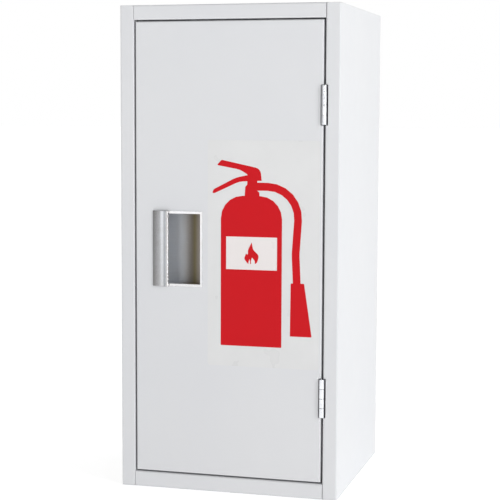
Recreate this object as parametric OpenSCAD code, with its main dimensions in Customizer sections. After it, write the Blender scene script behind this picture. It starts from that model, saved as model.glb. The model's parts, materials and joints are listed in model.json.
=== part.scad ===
// Wall cabinet of folded steel sheet with a portable fire extinguisher inside.
// The origin is the middle of the cabinet's foot. The door faces -Y and +Z is up.

/* [Cabinet] */
// Outside width of the cabinet
width = 300; // [290:5:340]
// Outside height of the cabinet
height = 650; // [640:10:720]
// Outside depth of the cabinet
depth = 280; // [260:5:320]
// Thickness of the steel sheet
sheet = 1.2; // [1.0:0.1:1.5]
// Width of the flanges beside and above the door opening
frame_flange = 19.5; // [18:0.5:24]
// Height of the sill flange below the door opening
sill = 21; // [18:0.5:24]
// Sideways distance between the wall fixing holes
wall_hole_x = 200; // [160:10:220]
// Upright distance between the wall fixing holes
wall_hole_z = 500; // [400:10:560]
// Radius of a wall fixing hole
wall_hole_r = 4; // [3:0.5:5]

/* [Door] */
// Gap between the door's edges and the frame
door_gap = 2; // [2:0.5:3]
// Gap at the hinged edge, which holds both hinge leaves
hinge_gap = 2.6; // [2.6:0.2:4]
// Depth of the door's folded edges
door_return = 16; // [14:1:18]
// Width of the lips on the door's folded edges
door_lip = 12; // [8:1:16]
// Height of the upper hinge's middle
upper_hinge_z = 519; // [480:1:540]
// Height of the lower hinge's middle
lower_hinge_z = 136; // [110:1:160]
// Length of a hinge
hinge_length = 50.8; // [48:0.4:56]
// Radius of a hinge pin
hinge_pin_r = 2; // [1.5:0.1:2.2]

/* [Pull] */
// Width of the recessed pull
pull_width = 69.4; // [66:0.2:74]
// Height of the recessed pull
pull_height = 101; // [90:1:120]
// Depth of the finger recess
pull_depth = 22; // [18:1:24]
// Width of the lip that the fingers pull on
grip_width = 22.5; // [20:0.5:26]
// Height of the pull's middle
pull_z = 327.5; // [300:0.5:360]

/* [Pictogram] */
// Width of the clear film that carries the pictogram
film_width = 152; // [140:1:152]
// Height of the film
film_height = 300; // [280:5:320]

/* [Extinguisher] */
// Diameter of the pressure cylinder
vessel_d = 150; // [140:2:152]
// Height of the cylinder's straight wall above its foot
vessel_wall_top = 375; // [350:5:400]
// Distance of the extinguisher's axis behind the cabinet's middle
vessel_y = 45; // [40:1:50]
// Radius of the hose
hose_r = 7; // [6:0.5:7.5]
// Radius of the hose's bend
hose_bend = 56; // [56:1:60]
// Full squeeze of the lever in degrees, for which its slots leave room
squeeze_angle = 12; // [8:1:12]

/* [Hidden] */
$fn = 48;
half_w = width / 2;
front_y = -depth / 2;
back_y = depth / 2;
mid = sheet / 2;
bend_r = 1 + mid;
bend_step = 18;
nudge = 0.1;
running_fit = 0.05;
fixed_fit = 0.03;

// Frame of the door opening, on the middle of the sheet
wall_x = half_w - mid;
face_y = front_y + mid;
opening_x = half_w - frame_flange;
jamb_x = opening_x + mid;
stop_y = front_y + 18.6;
stop_w = 10;
inside_x = half_w - sheet;
rear_y = back_y - sheet;
weld_flange = 12;
back_flange_z = 15;

// Door
door_left = -opening_x + door_gap;
door_right = opening_x - hinge_gap;
door_low = sill + door_gap;
door_high = height - frame_flange - door_gap;
door_back_y = front_y + door_return;
skin_y = front_y + sheet;
stiffener_x = 40;
stiffener_w = 28;
stiffener_foot = 12;
stiffener_depth = 12;

// Hinges
hinge_x = opening_x - hinge_gap / 2;
hinge_y = front_y - 1.5;
knuckle_r = 3.3;
knuckles = 4;
knuckle_gap = 0.5;
notch = 4.8;
notch_room = 0.7;
leaf_apart = 0.3;
leaf_back_y = front_y + 14;
leaf_front_y = hinge_y + 3.7;
rivet_y = front_y + 9;
rivet_z = 16;
rivet_r = 1.6;
rivet_head_r = 2.8;
rivet_head_h = 0.9;
rivet_grip = hinge_gap / 2 - leaf_apart + sheet;

// Pull, measured from its left edge
pull_left = -104;
pull_right = pull_left + pull_width;
pull_low = pull_z - pull_height / 2;
pull_flange = 3.4;
pull_sheet = 0.8;
flange_y = front_y - pull_sheet;
cup_left = pull_left + pull_flange + pull_sheet;
cup_right = pull_right - pull_flange;
cup_back_y = front_y + pull_depth;
grip_rise = 3.4;
rim_r = 1.9;
rim_rise = 0.55;
grip_right = pull_left + grip_width;
bridge_w = 15;
bridge_foot = 12;
stud_x = (cup_left + cup_right) / 2;
stud_r = 2.5;
bridge_y = cup_back_y + pull_sheet + sheet;

// Catch, on the latch side
catch_z = height / 2 + 130;
catch_h = 46;
catch_x = -opening_x + stop_w + nudge;
catch_w = 14;
strike_y = door_back_y + sheet;
magnet_y = strike_y + 0.2;
buffer_z = 265;

// Extinguisher, measured from the cabinet's floor
floor_z = sheet;
vessel_r = vessel_d / 2;
vessel_wall = 2;
foot_h = 6;
foot_knuckle = 22;
shoulder_r = 40;
shoulder_turn = 70;
neck_r = 20;
neck_bore = 15;
shoulder_x = vessel_r - shoulder_r;
shoulder_end_r = shoulder_x + shoulder_r * cos(shoulder_turn);
shoulder_end_z = vessel_wall_top + shoulder_r * sin(shoulder_turn);
neck_z = shoulder_end_z + (shoulder_end_r - neck_r) / tan(shoulder_turn);
neck_top = round(neck_z + 19);
boot_h = 26;
boot_w = 2;
seat_z = neck_top;
valve_z = neck_top + 2;
head_half = 9;
lever_half = head_half + 1.8;
handle_half = lever_half + 1.8;
plate = 1.5;
pivot_x = 14.5;
pivot_z = neck_top + 35;
pivot_r = 2.5;
head_low = neck_top + 20;
head_high = neck_top + 39;
head_left = -16;
head_right = 21;
lever_under = neck_top + 44;
lever_slope = tan(8);
lever_left = -100;
pin_x = -23;
pin_z = pivot_z - 1;
pin_r = 1.5;
handle_rivet = [-8, neck_top + 25];
outlet_z = neck_top + 16;
outlet_x = 26;
hose_start = 38;
hose_x = hose_start + hose_bend;
nozzle_top = 212;
nozzle_r = 9.5;
clip_z = 165;
clip_h = 18;
gauge_z = neck_top + 13;
gauge_r = 11;
gauge_back = 20;
gauge_d = 8;
stem_r = 3;
stem_top = lever_under - 0.35;
tube_r = 7.9;
tube_top = neck_top - 14;
spring_r = 6.7;
spring_wire = 0.7;
spring_turns = 4;
spring_low = tube_top + spring_wire;
spring_high = neck_top - 3 - spring_wire - nudge;
bracket_z = 262;
bracket_h = 30;
bracket_gap = 1.2;
bracket_w = 2;
label_low = 128;
label_high = 300;
label_t = 0.2;

// ---- Outlines ----

function unit(v) = v / norm(v);
function left_of(v) = [-v[1], v[0]];
function turned(v, a) = [v[0] * cos(a) - v[1] * sin(a), v[0] * sin(a) + v[1] * cos(a)];
function flat(p) = [p[0], p[1]];

// Points and normals round the corner b, whose third value is the bend's radius
function bend(a, b, c) =
    let (u = unit(flat(b) - flat(a)), v = unit(flat(c) - flat(b)), turn = atan2(cross(u, v), u * v),
         s = sign(turn), start = flat(b) - u * b[2] * tan(abs(turn) / 2),
         centre = start + s * b[2] * left_of(u), steps = max(2, ceil(abs(turn) / bend_step)))
    b[2] == 0 ? [[flat(b), left_of(u)]]
    : [for (k = [0 : steps]) let (d = turned(u, turn * k / steps))
        [centre - s * b[2] * left_of(d), left_of(d)]];

// Points and normals along an open line of straight runs and round bends
function bent_line(p) = let (e = len(p) - 1) concat(
    [[flat(p[0]), left_of(unit(flat(p[1]) - flat(p[0])))]],
    [for (i = [1 : e - 1]) each bend(p[i - 1], p[i], p[i + 1])],
    [[flat(p[e]), left_of(unit(flat(p[e]) - flat(p[e - 1])))]]);

// One side of a line, moved sideways
function side_of(line, shift) = [for (s = line) s[0] + shift * s[1]];
function reversed(p) = [for (i = [len(p) - 1 : -1 : 0]) p[i]];

// Closed outline with round corners
function rounded(p) = let (n = len(p)) [for (i = [0 : n - 1])
    each [for (s = bend(p[(i + n - 1) % n], p[i], p[(i + 1) % n])) s[0]]];

function arc(x, y, r, from, to) = let (steps = max(2, ceil(abs(to - from) / bend_step)))
    [for (k = [0 : steps]) let (a = from + (to - from) * k / steps) [x + r * cos(a), y + r * sin(a)]];

// Folded strip of sheet along a line on the middle of its thickness
module strip(p, t = sheet) {
    line = bent_line(p);
    polygon(concat(side_of(line, t / 2), reversed(side_of(line, -t / 2))));
}

// Extrudes an outline drawn in Y and Z along X, from x0 to x1
module along_x(x0, x1) translate([x0, 0, 0]) rotate([90, 0, 90]) linear_extrude(x1 - x0) children();

// Extrudes an outline drawn in X and Z along Y, from y0 to y1
module along_y(y0, y1) translate([0, y1, 0]) rotate([90, 0, 0]) linear_extrude(y1 - y0) children();

module block(low, high) translate(low) cube(high - low);

// Round bar between two places on an axis: "x", "y" or "z"
module bar(axis, at, from, to, r) {
    if (axis == "x") translate([from, at[0], at[1]]) rotate([0, 90, 0]) cylinder(h = to - from, r = r);
    if (axis == "y") translate([at[0], from, at[1]]) rotate([-90, 0, 0]) cylinder(h = to - from, r = r);
    if (axis == "z") translate([at[0], at[1], from]) cylinder(h = to - from, r = r);
}

// ---- Cabinet body ----

module side_panel() {
    linear_extrude(height)
        strip([[wall_x, back_y, 0], [wall_x, face_y, bend_r], [jamb_x + bend_r, face_y, 0]]);
    translate([0, 0, sheet]) linear_extrude(height - 2 * sheet)
        strip([[wall_x - 2 * bend_r, face_y, 0], [jamb_x, face_y, bend_r], [jamb_x, stop_y - 2 * bend_r, 0]]);
    translate([0, 0, sill + stop_w]) linear_extrude(height - sill - frame_flange - 2 * stop_w)
        strip([[jamb_x, stop_y - 4 * bend_r, 0], [jamb_x, stop_y, bend_r], [opening_x - stop_w, stop_y, 0]]);
}

module side_left() {
    color("gainsboro") difference() {
        mirror([1, 0, 0]) side_panel();
        at_catch_screws() translate([0, 0, stop_y - 5]) cylinder(h = 10, r = 1.5 + fixed_fit);
    }
}

module side_right() {
    color("gainsboro") difference() {
        side_panel();
        hinge_notches();
        at_hinges() frame_rivet_row() rivet_hole();
    }
}

// Top plate with its front flange, which reaches down by flange, and notches round the side panels' bends
module roof(flange) {
    plate_z = height - mid;
    lintel_z = height - flange + mid;
    notch_w = bend_r - mid + nudge;
    difference() {
        along_x(-inside_x, inside_x)
            strip([[rear_y - mid, height - weld_flange, 0], [rear_y - mid, plate_z, bend_r],
                [skin_y, plate_z, 0]]);
        for (s = [-1, 1])
            translate([s * (inside_x - notch_w / 2), skin_y + notch_w / 2, height])
                cube([notch_w + nudge, notch_w + nudge, 4 * sheet], center = true);
    }
    along_x(-opening_x + nudge, opening_x - nudge)
        strip([[0, plate_z, 0], [face_y, plate_z, bend_r], [face_y, lintel_z, bend_r],
            [stop_y, lintel_z, bend_r], [stop_y, height - flange - stop_w, 0]]);
    for (s = [-1, 1])
        block([s * (inside_x - mid) - mid, front_y + 30, height - weld_flange],
            [s * (inside_x - mid) + mid, back_y - 20, height - mid]);
}

module top_panel() {
    color("gainsboro") roof(frame_flange);
}

module bottom_panel() {
    color("gainsboro") translate([0, 0, height]) mirror([0, 0, 1]) roof(sill);
}

module back_panel() {
    color("gainsboro") difference() {
        union() {
            translate([0, 0, back_flange_z]) linear_extrude(height - 2 * back_flange_z)
                strip([[-inside_x + mid, rear_y - weld_flange, 0], [-inside_x + mid, back_y - mid, bend_r],
                    [inside_x - mid, back_y - mid, bend_r], [inside_x - mid, rear_y - weld_flange, 0]]);
            for (z = [0, height - back_flange_z])
                block([-inside_x, rear_y, z], [inside_x, back_y, z + back_flange_z]);
        }
        for (x = [-1, 1], z = [-1, 1])
            bar("y", [x * wall_hole_x / 2, height / 2 + z * wall_hole_z / 2], rear_y - 1, back_y + 1,
                wall_hole_r);
        at_bracket_screws() translate([0, 0, -10]) cylinder(h = 20, r = 2.5 + fixed_fit);
    }
}

// ---- Hinges ----

module at_hinges() for (z = [lower_hinge_z, upper_hinge_z]) translate([0, 0, z]) children();

// Clears the folded edges of door and frame round the hinge barrels
module hinge_notches() at_hinges()
    block([hinge_x - notch, front_y - 1, -hinge_length / 2 - notch_room],
        [hinge_x + notch, hinge_y + notch, hinge_length / 2 + notch_room]);

// Leaf with every second knuckle: first is 0 or 1, and the leaf lies between x0 and x1
module hinge_leaf(first, x0, x1) {
    pitch = hinge_length / knuckles;
    difference() {
        union() {
            block([x0, leaf_front_y, -hinge_length / 2], [x1, leaf_back_y, hinge_length / 2]);
            for (k = [first : 2 : knuckles - 1]) {
                low = -hinge_length / 2 + k * pitch + knuckle_gap / 2;
                high = low + pitch - knuckle_gap;
                block([x0, hinge_y, low], [x1, leaf_back_y, high]);
                bar("z", [hinge_x, hinge_y], low, high, knuckle_r);
            }
        }
        bar("z", [hinge_x, hinge_y], -hinge_length, hinge_length, hinge_pin_r + running_fit);
        children();
    }
}

module rivet() {
    cylinder(h = rivet_head_h, r1 = rivet_head_r, r2 = rivet_r);
    cylinder(h = rivet_grip + nudge, r = rivet_r);
    translate([0, 0, rivet_grip]) cylinder(h = rivet_head_h, r1 = rivet_head_r, r2 = rivet_r);
}

module rivet_hole() {
    cylinder(h = rivet_head_h, r1 = rivet_head_r + fixed_fit, r2 = rivet_r + fixed_fit);
    translate([0, 0, -1]) cylinder(h = rivet_grip + 2, r = rivet_r + fixed_fit);
}

module frame_rivet_row() for (z = [-rivet_z, rivet_z])
    translate([hinge_x + leaf_apart, rivet_y, z]) rotate([0, 90, 0]) children();

module door_rivet_row() for (z = [-rivet_z, rivet_z])
    translate([hinge_x - leaf_apart, rivet_y, z]) rotate([0, -90, 0]) children();

module frame_leaves() {
    color("silver") at_hinges() hinge_leaf(1, hinge_x + leaf_apart, opening_x) frame_rivet_row() rivet_hole();
}

module door_leaves() {
    color("silver") at_hinges() hinge_leaf(0, door_right, hinge_x - leaf_apart) door_rivet_row() rivet_hole();
}

module hinge_pins() {
    color("gray") at_hinges()
        bar("z", [hinge_x, hinge_y], -hinge_length / 2, hinge_length / 2, hinge_pin_r);
}

module frame_rivets() {
    color("silver") at_hinges() frame_rivet_row() rivet();
}

module door_rivets() {
    color("silver") at_hinges() door_rivet_row() rivet();
}

// ---- Catch and buffers ----

module at_catch_screws() for (z = [-15, 15])
    translate([catch_x - 5, 0, catch_z + z]) rotate([-90, 0, 0]) children();

module catch_housing() {
    y0 = stop_y + mid;
    color("ivory") difference() {
        union() {
            block([catch_x, magnet_y + 1, catch_z - catch_h / 2],
                [catch_x + catch_w, y0 + 12, catch_z + catch_h / 2]);
            block([catch_x - stop_w + 1, y0, catch_z - catch_h / 2],
                [catch_x + 1, y0 + 2, catch_z + catch_h / 2]);
        }
        block([catch_x + 3, magnet_y - 1, catch_z - 16], [catch_x + catch_w - 3, y0 + 8, catch_z + 16]);
        at_catch_screws() translate([0, 0, y0 - 1]) cylinder(h = 4, r = 1.5 + fixed_fit);
    }
}

module catch_magnet() {
    color("dimgray") block([catch_x + 3, magnet_y, catch_z - 16],
        [catch_x + catch_w - 3, stop_y + mid + 8, catch_z + 16]);
}

module catch_screws() {
    color("silver") at_catch_screws() {
        translate([0, 0, stop_y - mid + nudge]) cylinder(h = sheet + 2, r = 1.5);
        translate([0, 0, stop_y + mid + 2]) cylinder(h = 1.8, r1 = 3, r2 = 2);
    }
}

module buffers() {
    color("dimgray") for (z = [-buffer_z, buffer_z])
        translate([-opening_x + 5.5, stop_y - mid, height / 2 + z]) rotate([90, 0, 0]) {
            cylinder(h = 1.2, r = 4.5);
            translate([0, 0, 1.2]) cylinder(h = 0.7, r1 = 4.5, r2 = 3.6);
        }
}

// ---- Door ----

// Pan of the door, smaller all round by inset, with round front edges
module door_pan(inset) {
    x0 = door_left + inset;
    x1 = door_right - inset;
    z0 = door_low + inset;
    z1 = door_high - inset;
    y0 = front_y + inset;
    y1 = door_back_y + (inset > 0 ? 1 : 0);
    r = bend_r + mid - inset;
    intersection() {
        translate([0, 0, z0]) linear_extrude(z1 - z0)
            polygon(rounded([[x0, y0, r], [x1, y0, r], [x1, y1, 0], [x0, y1, 0]]));
        along_x(x0, x1) polygon(rounded([[y0, z0, r], [y1, z0, 0], [y1, z1, 0], [y0, z1, r]]));
    }
}

module door_skin() {
    color("gainsboro") difference() {
        union() {
            difference() {
                door_pan(0);
                door_pan(sheet);
            }
            difference() {
                block([door_left + mid, door_back_y - sheet, door_low + mid],
                    [door_right - mid, door_back_y, door_high - mid]);
                block([door_left + door_lip, door_back_y - 3, door_low + door_lip],
                    [door_right - door_lip, door_back_y + 3, door_high - door_lip]);
            }
        }
        block([cup_left - 2 * pull_sheet, front_y - 1, pull_low + pull_flange - 2 * pull_sheet],
            [cup_right + 2 * pull_sheet, skin_y + 1, pull_low + pull_height - pull_flange + 2 * pull_sheet]);
        hinge_notches();
        at_hinges() door_rivet_row() rivet_hole();
        at_strike_rivets() translate([0, 0, door_back_y - 2 * sheet]) cylinder(h = 9, r = 1.5 + fixed_fit);
    }
}

module door_stiffener() {
    y0 = skin_y + mid;
    y1 = skin_y + stiffener_depth;
    x = stiffener_x;
    w = stiffener_w / 2;
    color("gainsboro") translate([0, 0, door_low + 2 * door_lip])
        linear_extrude(door_high - door_low - 4 * door_lip)
            strip([[x - w - stiffener_foot, y0, 0], [x - w, y0, bend_r], [x - w, y1, bend_r],
                [x + w, y1, bend_r], [x + w, y0, bend_r], [x + w + stiffener_foot, y0, 0]]);
}

module at_strike_rivets() for (z = [-17, 17])
    translate([door_left + 6, 0, catch_z + z]) rotate([-90, 0, 0]) children();

module strike_plate() {
    color("silver") difference() {
        block([door_left + 2, door_back_y, catch_z - 23], [catch_x + catch_w, strike_y, catch_z + 23]);
        at_strike_rivets() translate([0, 0, door_back_y - 1]) cylinder(h = 4, r = 1.5 + fixed_fit);
    }
}

module strike_rivets() {
    color("silver") at_strike_rivets() {
        translate([0, 0, door_back_y - sheet]) cylinder(h = 2 * sheet, r = 1.5);
        translate([0, 0, door_back_y - sheet - 1]) cylinder(h = 1, r1 = 1.8, r2 = 2.8);
        translate([0, 0, strike_y]) cylinder(h = 0.5, r1 = 2.6, r2 = 1.8);
    }
}

// ---- Pull ----

// Section of the finger recess: a steep right wall, a deep round back and room behind the grip
cup_line = bent_line([[cup_right, flange_y, 0], [cup_right - 1.5, front_y + 11, 14],
    [cup_right - 20, cup_back_y, 26], [cup_left, cup_back_y, 12], [cup_left, flange_y, 0]]);

module pull_cup() {
    z0 = pull_low + pull_flange;
    z1 = pull_low + pull_height - pull_flange;
    color("silver") {
        difference() {
            union() {
                block([pull_left, flange_y, pull_low], [pull_right, front_y, pull_low + pull_height]);
                translate([0, 0, z0 - pull_sheet]) linear_extrude(z1 - z0 + 2 * pull_sheet)
                    polygon(side_of(cup_line, -pull_sheet));
            }
            translate([0, 0, z0]) linear_extrude(z1 - z0)
                polygon(concat([[cup_right, flange_y - 1]], side_of(cup_line, 0),
                    [[cup_left, flange_y - 1]]));
        }
        bar("y", [stud_x, pull_z], cup_back_y + pull_sheet / 2, cup_back_y + 12, stud_r);
    }
}

// Lip with a crowned face and a rolled rim, which overhangs the recess
module pull_grip() {
    crown_y = flange_y - grip_rise;
    rim_x = grip_right - rim_r;
    color("gainsboro") translate([0, 0, pull_low]) linear_extrude(pull_height) union() {
        polygon(rounded([[pull_left, flange_y, 0], [pull_left, flange_y - 0.6, 0.4],
            [pull_left + 3.5, crown_y + 1.3, 5], [pull_left + 10, crown_y, 28], [rim_x, crown_y, 0],
            [rim_x, crown_y + 1.5, 0], [pull_left + 10, crown_y + 1.5, 26], [pull_left + 4, flange_y, 0]]));
        translate([rim_x, crown_y + rim_r - rim_rise]) circle(r = rim_r);
    }
}

// Bridge behind the door that clamps the pull by its stud
module pull_bridge() {
    foot_y = skin_y + mid;
    x0 = pull_left - 4;
    x1 = pull_right + 6;
    color("silver") difference() {
        translate([0, 0, pull_z - bridge_w / 2]) linear_extrude(bridge_w)
            strip([[x0 - bridge_foot, foot_y, 0], [x0, foot_y, bend_r], [x0, bridge_y, bend_r],
                [x1, bridge_y, bend_r], [x1, foot_y, bend_r], [x1 + bridge_foot, foot_y, 0]]);
        bar("y", [stud_x, pull_z], bridge_y - 5, bridge_y + 5, stud_r + fixed_fit);
    }
}

module pull_nut() {
    y0 = bridge_y + mid;
    color("silver") difference() {
        union() {
            bar("y", [stud_x, pull_z], y0, y0 + 1, 5);
            translate([stud_x, y0 + 1, pull_z]) rotate([-90, 0, 0]) cylinder(h = 4, r = 4.6, $fn = 6);
        }
        bar("y", [stud_x, pull_z], y0 - 1, y0 + 9, stud_r + fixed_fit);
    }
}

// ---- Pictogram ----

film_right = door_right - 3.4;
film_left = film_right - film_width;
film_low = height / 2 - 152;
film_t = 0.15;

module decal_film() {
    color("whitesmoke") along_y(front_y - film_t, front_y) translate([film_left, film_low])
        polygon(rounded([[0, 0, 3], [film_width, 0, 3], [film_width, film_height, 3], [0, film_height, 3]]));
}

// Outline of the drawn extinguisher, from its body's lower left corner
icon_x = -9.3;
icon_z = 200.5;
icon_w = 83.3;
icon_h = 199.5;
icon_neck = 42.8;

module icon_vessel() {
    polygon(rounded([[0, 0, 1], [icon_w, 0, 1], [icon_w, icon_h, 30], [0, icon_h, 30]]));
    translate([icon_neck, icon_h]) polygon(rounded([[10, -1, 0], [9.5, 5, 1], [6.8, 7, 2], [6.8, 26, 0],
        [-6.8, 26, 0], [-6.8, 15, 1], [-9.5, 12, 1], [-10.3, -1, 0]]));
}

// The squeeze lever above and the carry handle below, both from the neck to the left
module icon_levers() {
    translate([icon_neck, icon_h]) {
        polygon(rounded([[12.8, 20, 0.5], [11, 36, 9], [-13, 41, 60], [-42, 47, 2], [-48.5, 40, 1],
            [-17, 34.5, 24], [-6, 28, 5], [-6, 20, 0]]));
        polygon(rounded([[-5, 19.5, 0], [-5, 27.5, 0], [-22, 24, 40], [-53, 8, 5], [-54.8, 3, 1],
            [-51.5, 3, 2], [-18, 18.5, 24]]));
    }
}

module icon_hose() {
    translate([icon_neck, icon_h]) {
        strip([[2, 12.4, 0], [65, 12.4, 41], [59, -76, 70], [61, -117, 0]], 10.4);
        polygon(rounded([[52.7, -113.5, 1], [70.7, -113.5, 1], [81.3, -183.8, 1], [52, -183.8, 1]]));
    }
}

module icon_window() {
    translate([7.3, icon_h - 97.5]) square([69.5, 43.5]);
}

// Plain flame: a tall leaning tongue, a short one on its left, and a hollow heart with a small tongue in it
module icon_flame() {
    translate([42.3, icon_h - 91]) difference() {
        polygon(rounded([[-5, 1.4, 4], [-10.4, 8, 3.5], [-7.6, 15.2, 0], [-5.2, 11.6, 1], [-5, 20, 8],
            [0, 30, 0], [1.8, 20.5, 6], [10.2, 12.5, 6], [7, 1.4, 5]]));
        polygon(rounded([[-0.9, -1, 0], [-0.9, 6, 2], [0.6, 10, 0], [4.4, 5.4, 3], [4.4, -1, 0]]));
        polygon(rounded([[-4.2, -1, 0], [-4.2, 4, 2], [-3, 8, 0], [-2.2, 5, 1], [-2, -1, 0]]));
    }
}

module pictogram() {
    color("crimson") along_y(front_y - 2 * film_t, front_y - film_t) translate([icon_x, icon_z]) {
        difference() {
            union() {
                icon_vessel();
                icon_levers();
                icon_hose();
            }
            icon_window();
        }
        icon_flame();
    }
}

// ---- Extinguisher ----

module on_floor() translate([0, vessel_y, floor_z]) children();

// Half section of the vessel's outside, larger all round by extra
function vessel_side(extra) = concat(
    [[0, foot_h - extra]],
    arc(vessel_r - foot_knuckle, foot_h + foot_knuckle, foot_knuckle + extra, -90, 0),
    arc(shoulder_x, vessel_wall_top, shoulder_r + extra, 0, shoulder_turn));

module pressure_cylinder() {
    color("firebrick") on_floor() rotate_extrude($fn = 96) polygon(concat(vessel_side(0),
        [[neck_r, neck_z], [neck_r, neck_top], [neck_bore, neck_top], [neck_bore, neck_z - vessel_wall]],
        reversed(vessel_side(-vessel_wall))));
}

module foot_boot() {
    color("dimgray") on_floor() difference() {
        rotate_extrude($fn = 96) polygon([[40, 0], [vessel_r + boot_w, 0], [vessel_r + boot_w, boot_h - 1],
            [vessel_r + boot_w - 1, boot_h], [40, boot_h]]);
        rotate_extrude($fn = 96) polygon(concat(vessel_side(fixed_fit), [[0, vessel_wall_top]]));
    }
}

module cylinder_label() {
    color("ivory") on_floor() translate([0, 0, label_low]) rotate([0, 0, -150])
        rotate_extrude(angle = 120, $fn = 96)
            translate([vessel_r + fixed_fit, 0]) square([label_t, label_high - label_low]);
}

module neck_seal() {
    color("dimgray") on_floor() translate([0, 0, neck_top]) difference() {
        cylinder(h = 2, r = 18.5);
        translate([0, 0, -1]) cylinder(h = 4, r = neck_bore);
    }
}

module valve_body() {
    color("darkgoldenrod") on_floor() difference() {
        union() {
            bar("z", [0, 0], neck_z - 2, valve_z, neck_bore - nudge);
            bar("z", [0, 0], valve_z, valve_z + 5, 19);
            bar("z", [0, 0], valve_z, head_low + 6, 10.5);
            block([head_left, -head_half, head_low], [head_right, head_half, head_high]);
            bar("x", [0, outlet_z], 0, outlet_x, 8);
            bar("y", [0, gauge_z], -gauge_back, 0, 4.5);
        }
        bar("z", [0, 0], neck_z - 3, seat_z, 8);
        bar("z", [0, 0], seat_z - 1, head_low + 1, 5);
        bar("z", [0, 0], head_low, head_high + 1, stem_r + running_fit);
        bar("x", [0, outlet_z], 3, outlet_x + 1, 4);
        bar("y", [pivot_x, pivot_z], -head_half - 1, head_half + 1, pivot_r + fixed_fit);
        bar("y", handle_rivet, -head_half - 1, head_half + 1, 2 + fixed_fit);
    }
}

module dip_tube() {
    color("whitesmoke") on_floor() difference() {
        bar("z", [0, 0], 22, tube_top, tube_r);
        bar("z", [0, 0], 21, tube_top + 1, tube_r - 1.9);
    }
}

// Channel of sheet: two cheeks of one outline, joined by a web
module channel(half, web_left, web_right) {
    for (s = [-1, 1])
        along_y(s * (half - plate / 2) - plate / 2, s * (half - plate / 2) + plate / 2) children(0);
    along_y(-half, half) children(1);
}

module carry_handle() {
    web_end = pin_x - 7;
    web_z = neck_top + 27.5;
    tip_z = web_z - 12.5;
    color("dimgray") on_floor() difference() {
        channel(handle_half) {
            polygon(rounded([[head_right, head_low + 2, 2], [head_right, head_high + 1, 4],
                [pin_x - 6, head_high + 1, 3], [web_end, web_z, 2], [lever_left, tip_z, 3],
                [lever_left - 5, tip_z - 5, 3], [lever_left - 4, tip_z - 11, 4], [web_end, web_z - 11, 10],
                [-6, head_low - 2, 6]]));
            polygon([[web_end, web_z], [web_end, web_z - plate], [lever_left, tip_z - plate],
                [lever_left, tip_z]]);
        }
        bar("y", [pivot_x, pivot_z], -30, 30, pivot_r + fixed_fit);
        bar("y", handle_rivet, -30, 30, 2 + fixed_fit);
        bar("y", [pin_x, pin_z], -30, 30, pin_r + 0.2);
    }
}

module handle_rivets() {
    color("silver") on_floor() {
        bar("y", [pivot_x, pivot_z], -handle_half - 1, handle_half + 1, pivot_r);
        bar("y", handle_rivet, -handle_half - 1, handle_half + 1, 2);
        for (s = [-1, 1], p = [[pivot_x, pivot_z, 4.5], [handle_rivet[0], handle_rivet[1], 3.6]])
            translate([p[0], s * handle_half, p[1]]) rotate([-90 * s, 0, 0])
                cylinder(h = 1.4, r1 = p[2], r2 = p[2] - 1.2);
    }
}

module squeeze_lever() {
    tip_z = lever_under - lever_left * lever_slope;
    depth_z = 8;
    slot_top = pin_z + pin_r + (pivot_x - pin_x) * sin(squeeze_angle) + 1;
    color("dimgray") on_floor() difference() {
        channel(lever_half) {
            polygon(rounded([[head_right + 3, pivot_z - 6, 5], [head_right + 3, lever_under + plate, 4],
                [0, lever_under + plate, 30], [lever_left + 6, tip_z + plate - 1, 6],
                [lever_left - 4, tip_z - 6, 2.4], [lever_left + 2, tip_z - depth_z, 0.5],
                [-14, lever_under + 14 * lever_slope - depth_z, 10], [4, pivot_z - 6, 8]]));
            polygon(rounded([[head_right, lever_under, 0], [head_right, lever_under + plate, 0],
                [0, lever_under + plate, 30], [lever_left + 6, tip_z + plate - 1, 6],
                [lever_left - 1, tip_z - 3, 0], [lever_left - 0.1, tip_z - 4.2, 0],
                [lever_left + 6, tip_z - 1, 4.5], [0, lever_under, 30]]));
        }
        bar("y", [pivot_x, pivot_z], -30, 30, pivot_r + running_fit);
        block([pin_x - 2.5, -30, pin_z - 9], [pin_x + 2.8, 30, slot_top]);
    }
}

module gauge_case() {
    color("silver") on_floor() difference() {
        bar("y", [0, gauge_z], -gauge_back - gauge_d, -gauge_back, gauge_r);
        bar("y", [0, gauge_z], -gauge_back - gauge_d - 1, -gauge_back - 2, gauge_r - 1);
    }
}

module gauge_dial() {
    color("white") on_floor()
        bar("y", [0, gauge_z], -gauge_back - 3.5, -gauge_back - 2, gauge_r - 1 - fixed_fit);
}

module gauge_needle() {
    color("black") on_floor() {
        bar("y", [0, gauge_z], -gauge_back - 5, -gauge_back - 3.5, 1.2);
        along_y(-gauge_back - 4.6, -gauge_back - 4) translate([0, gauge_z])
            polygon([[-0.8, -2.5], [0.8, -2.5], [0.25, 8], [-0.25, 8]]);
    }
}

module gauge_lens() {
    color("lightcyan") on_floor()
        bar("y", [0, gauge_z], -gauge_back - gauge_d + 0.4, -gauge_back - gauge_d + 1.6,
            gauge_r - 1 - fixed_fit);
}

module hose() {
    color("dimgray") on_floor() {
        translate([hose_start, 0, outlet_z - hose_bend]) rotate([90, 0, 0])
            rotate_extrude(angle = 90) translate([hose_bend, 0]) circle(r = hose_r);
        bar("z", [hose_x, 0], nozzle_top - 15, outlet_z - hose_bend, hose_r);
    }
}

module hose_fitting() {
    color("darkgoldenrod") on_floor() difference() {
        union() {
            translate([outlet_x, 0, outlet_z]) rotate([0, 90, 0]) cylinder(h = 6, r = 9.5, $fn = 6);
            bar("x", [0, outlet_z], outlet_x, hose_start, 8.5);
        }
        bar("x", [0, outlet_z], outlet_x - 1, hose_start + 1, 4);
    }
}

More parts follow.
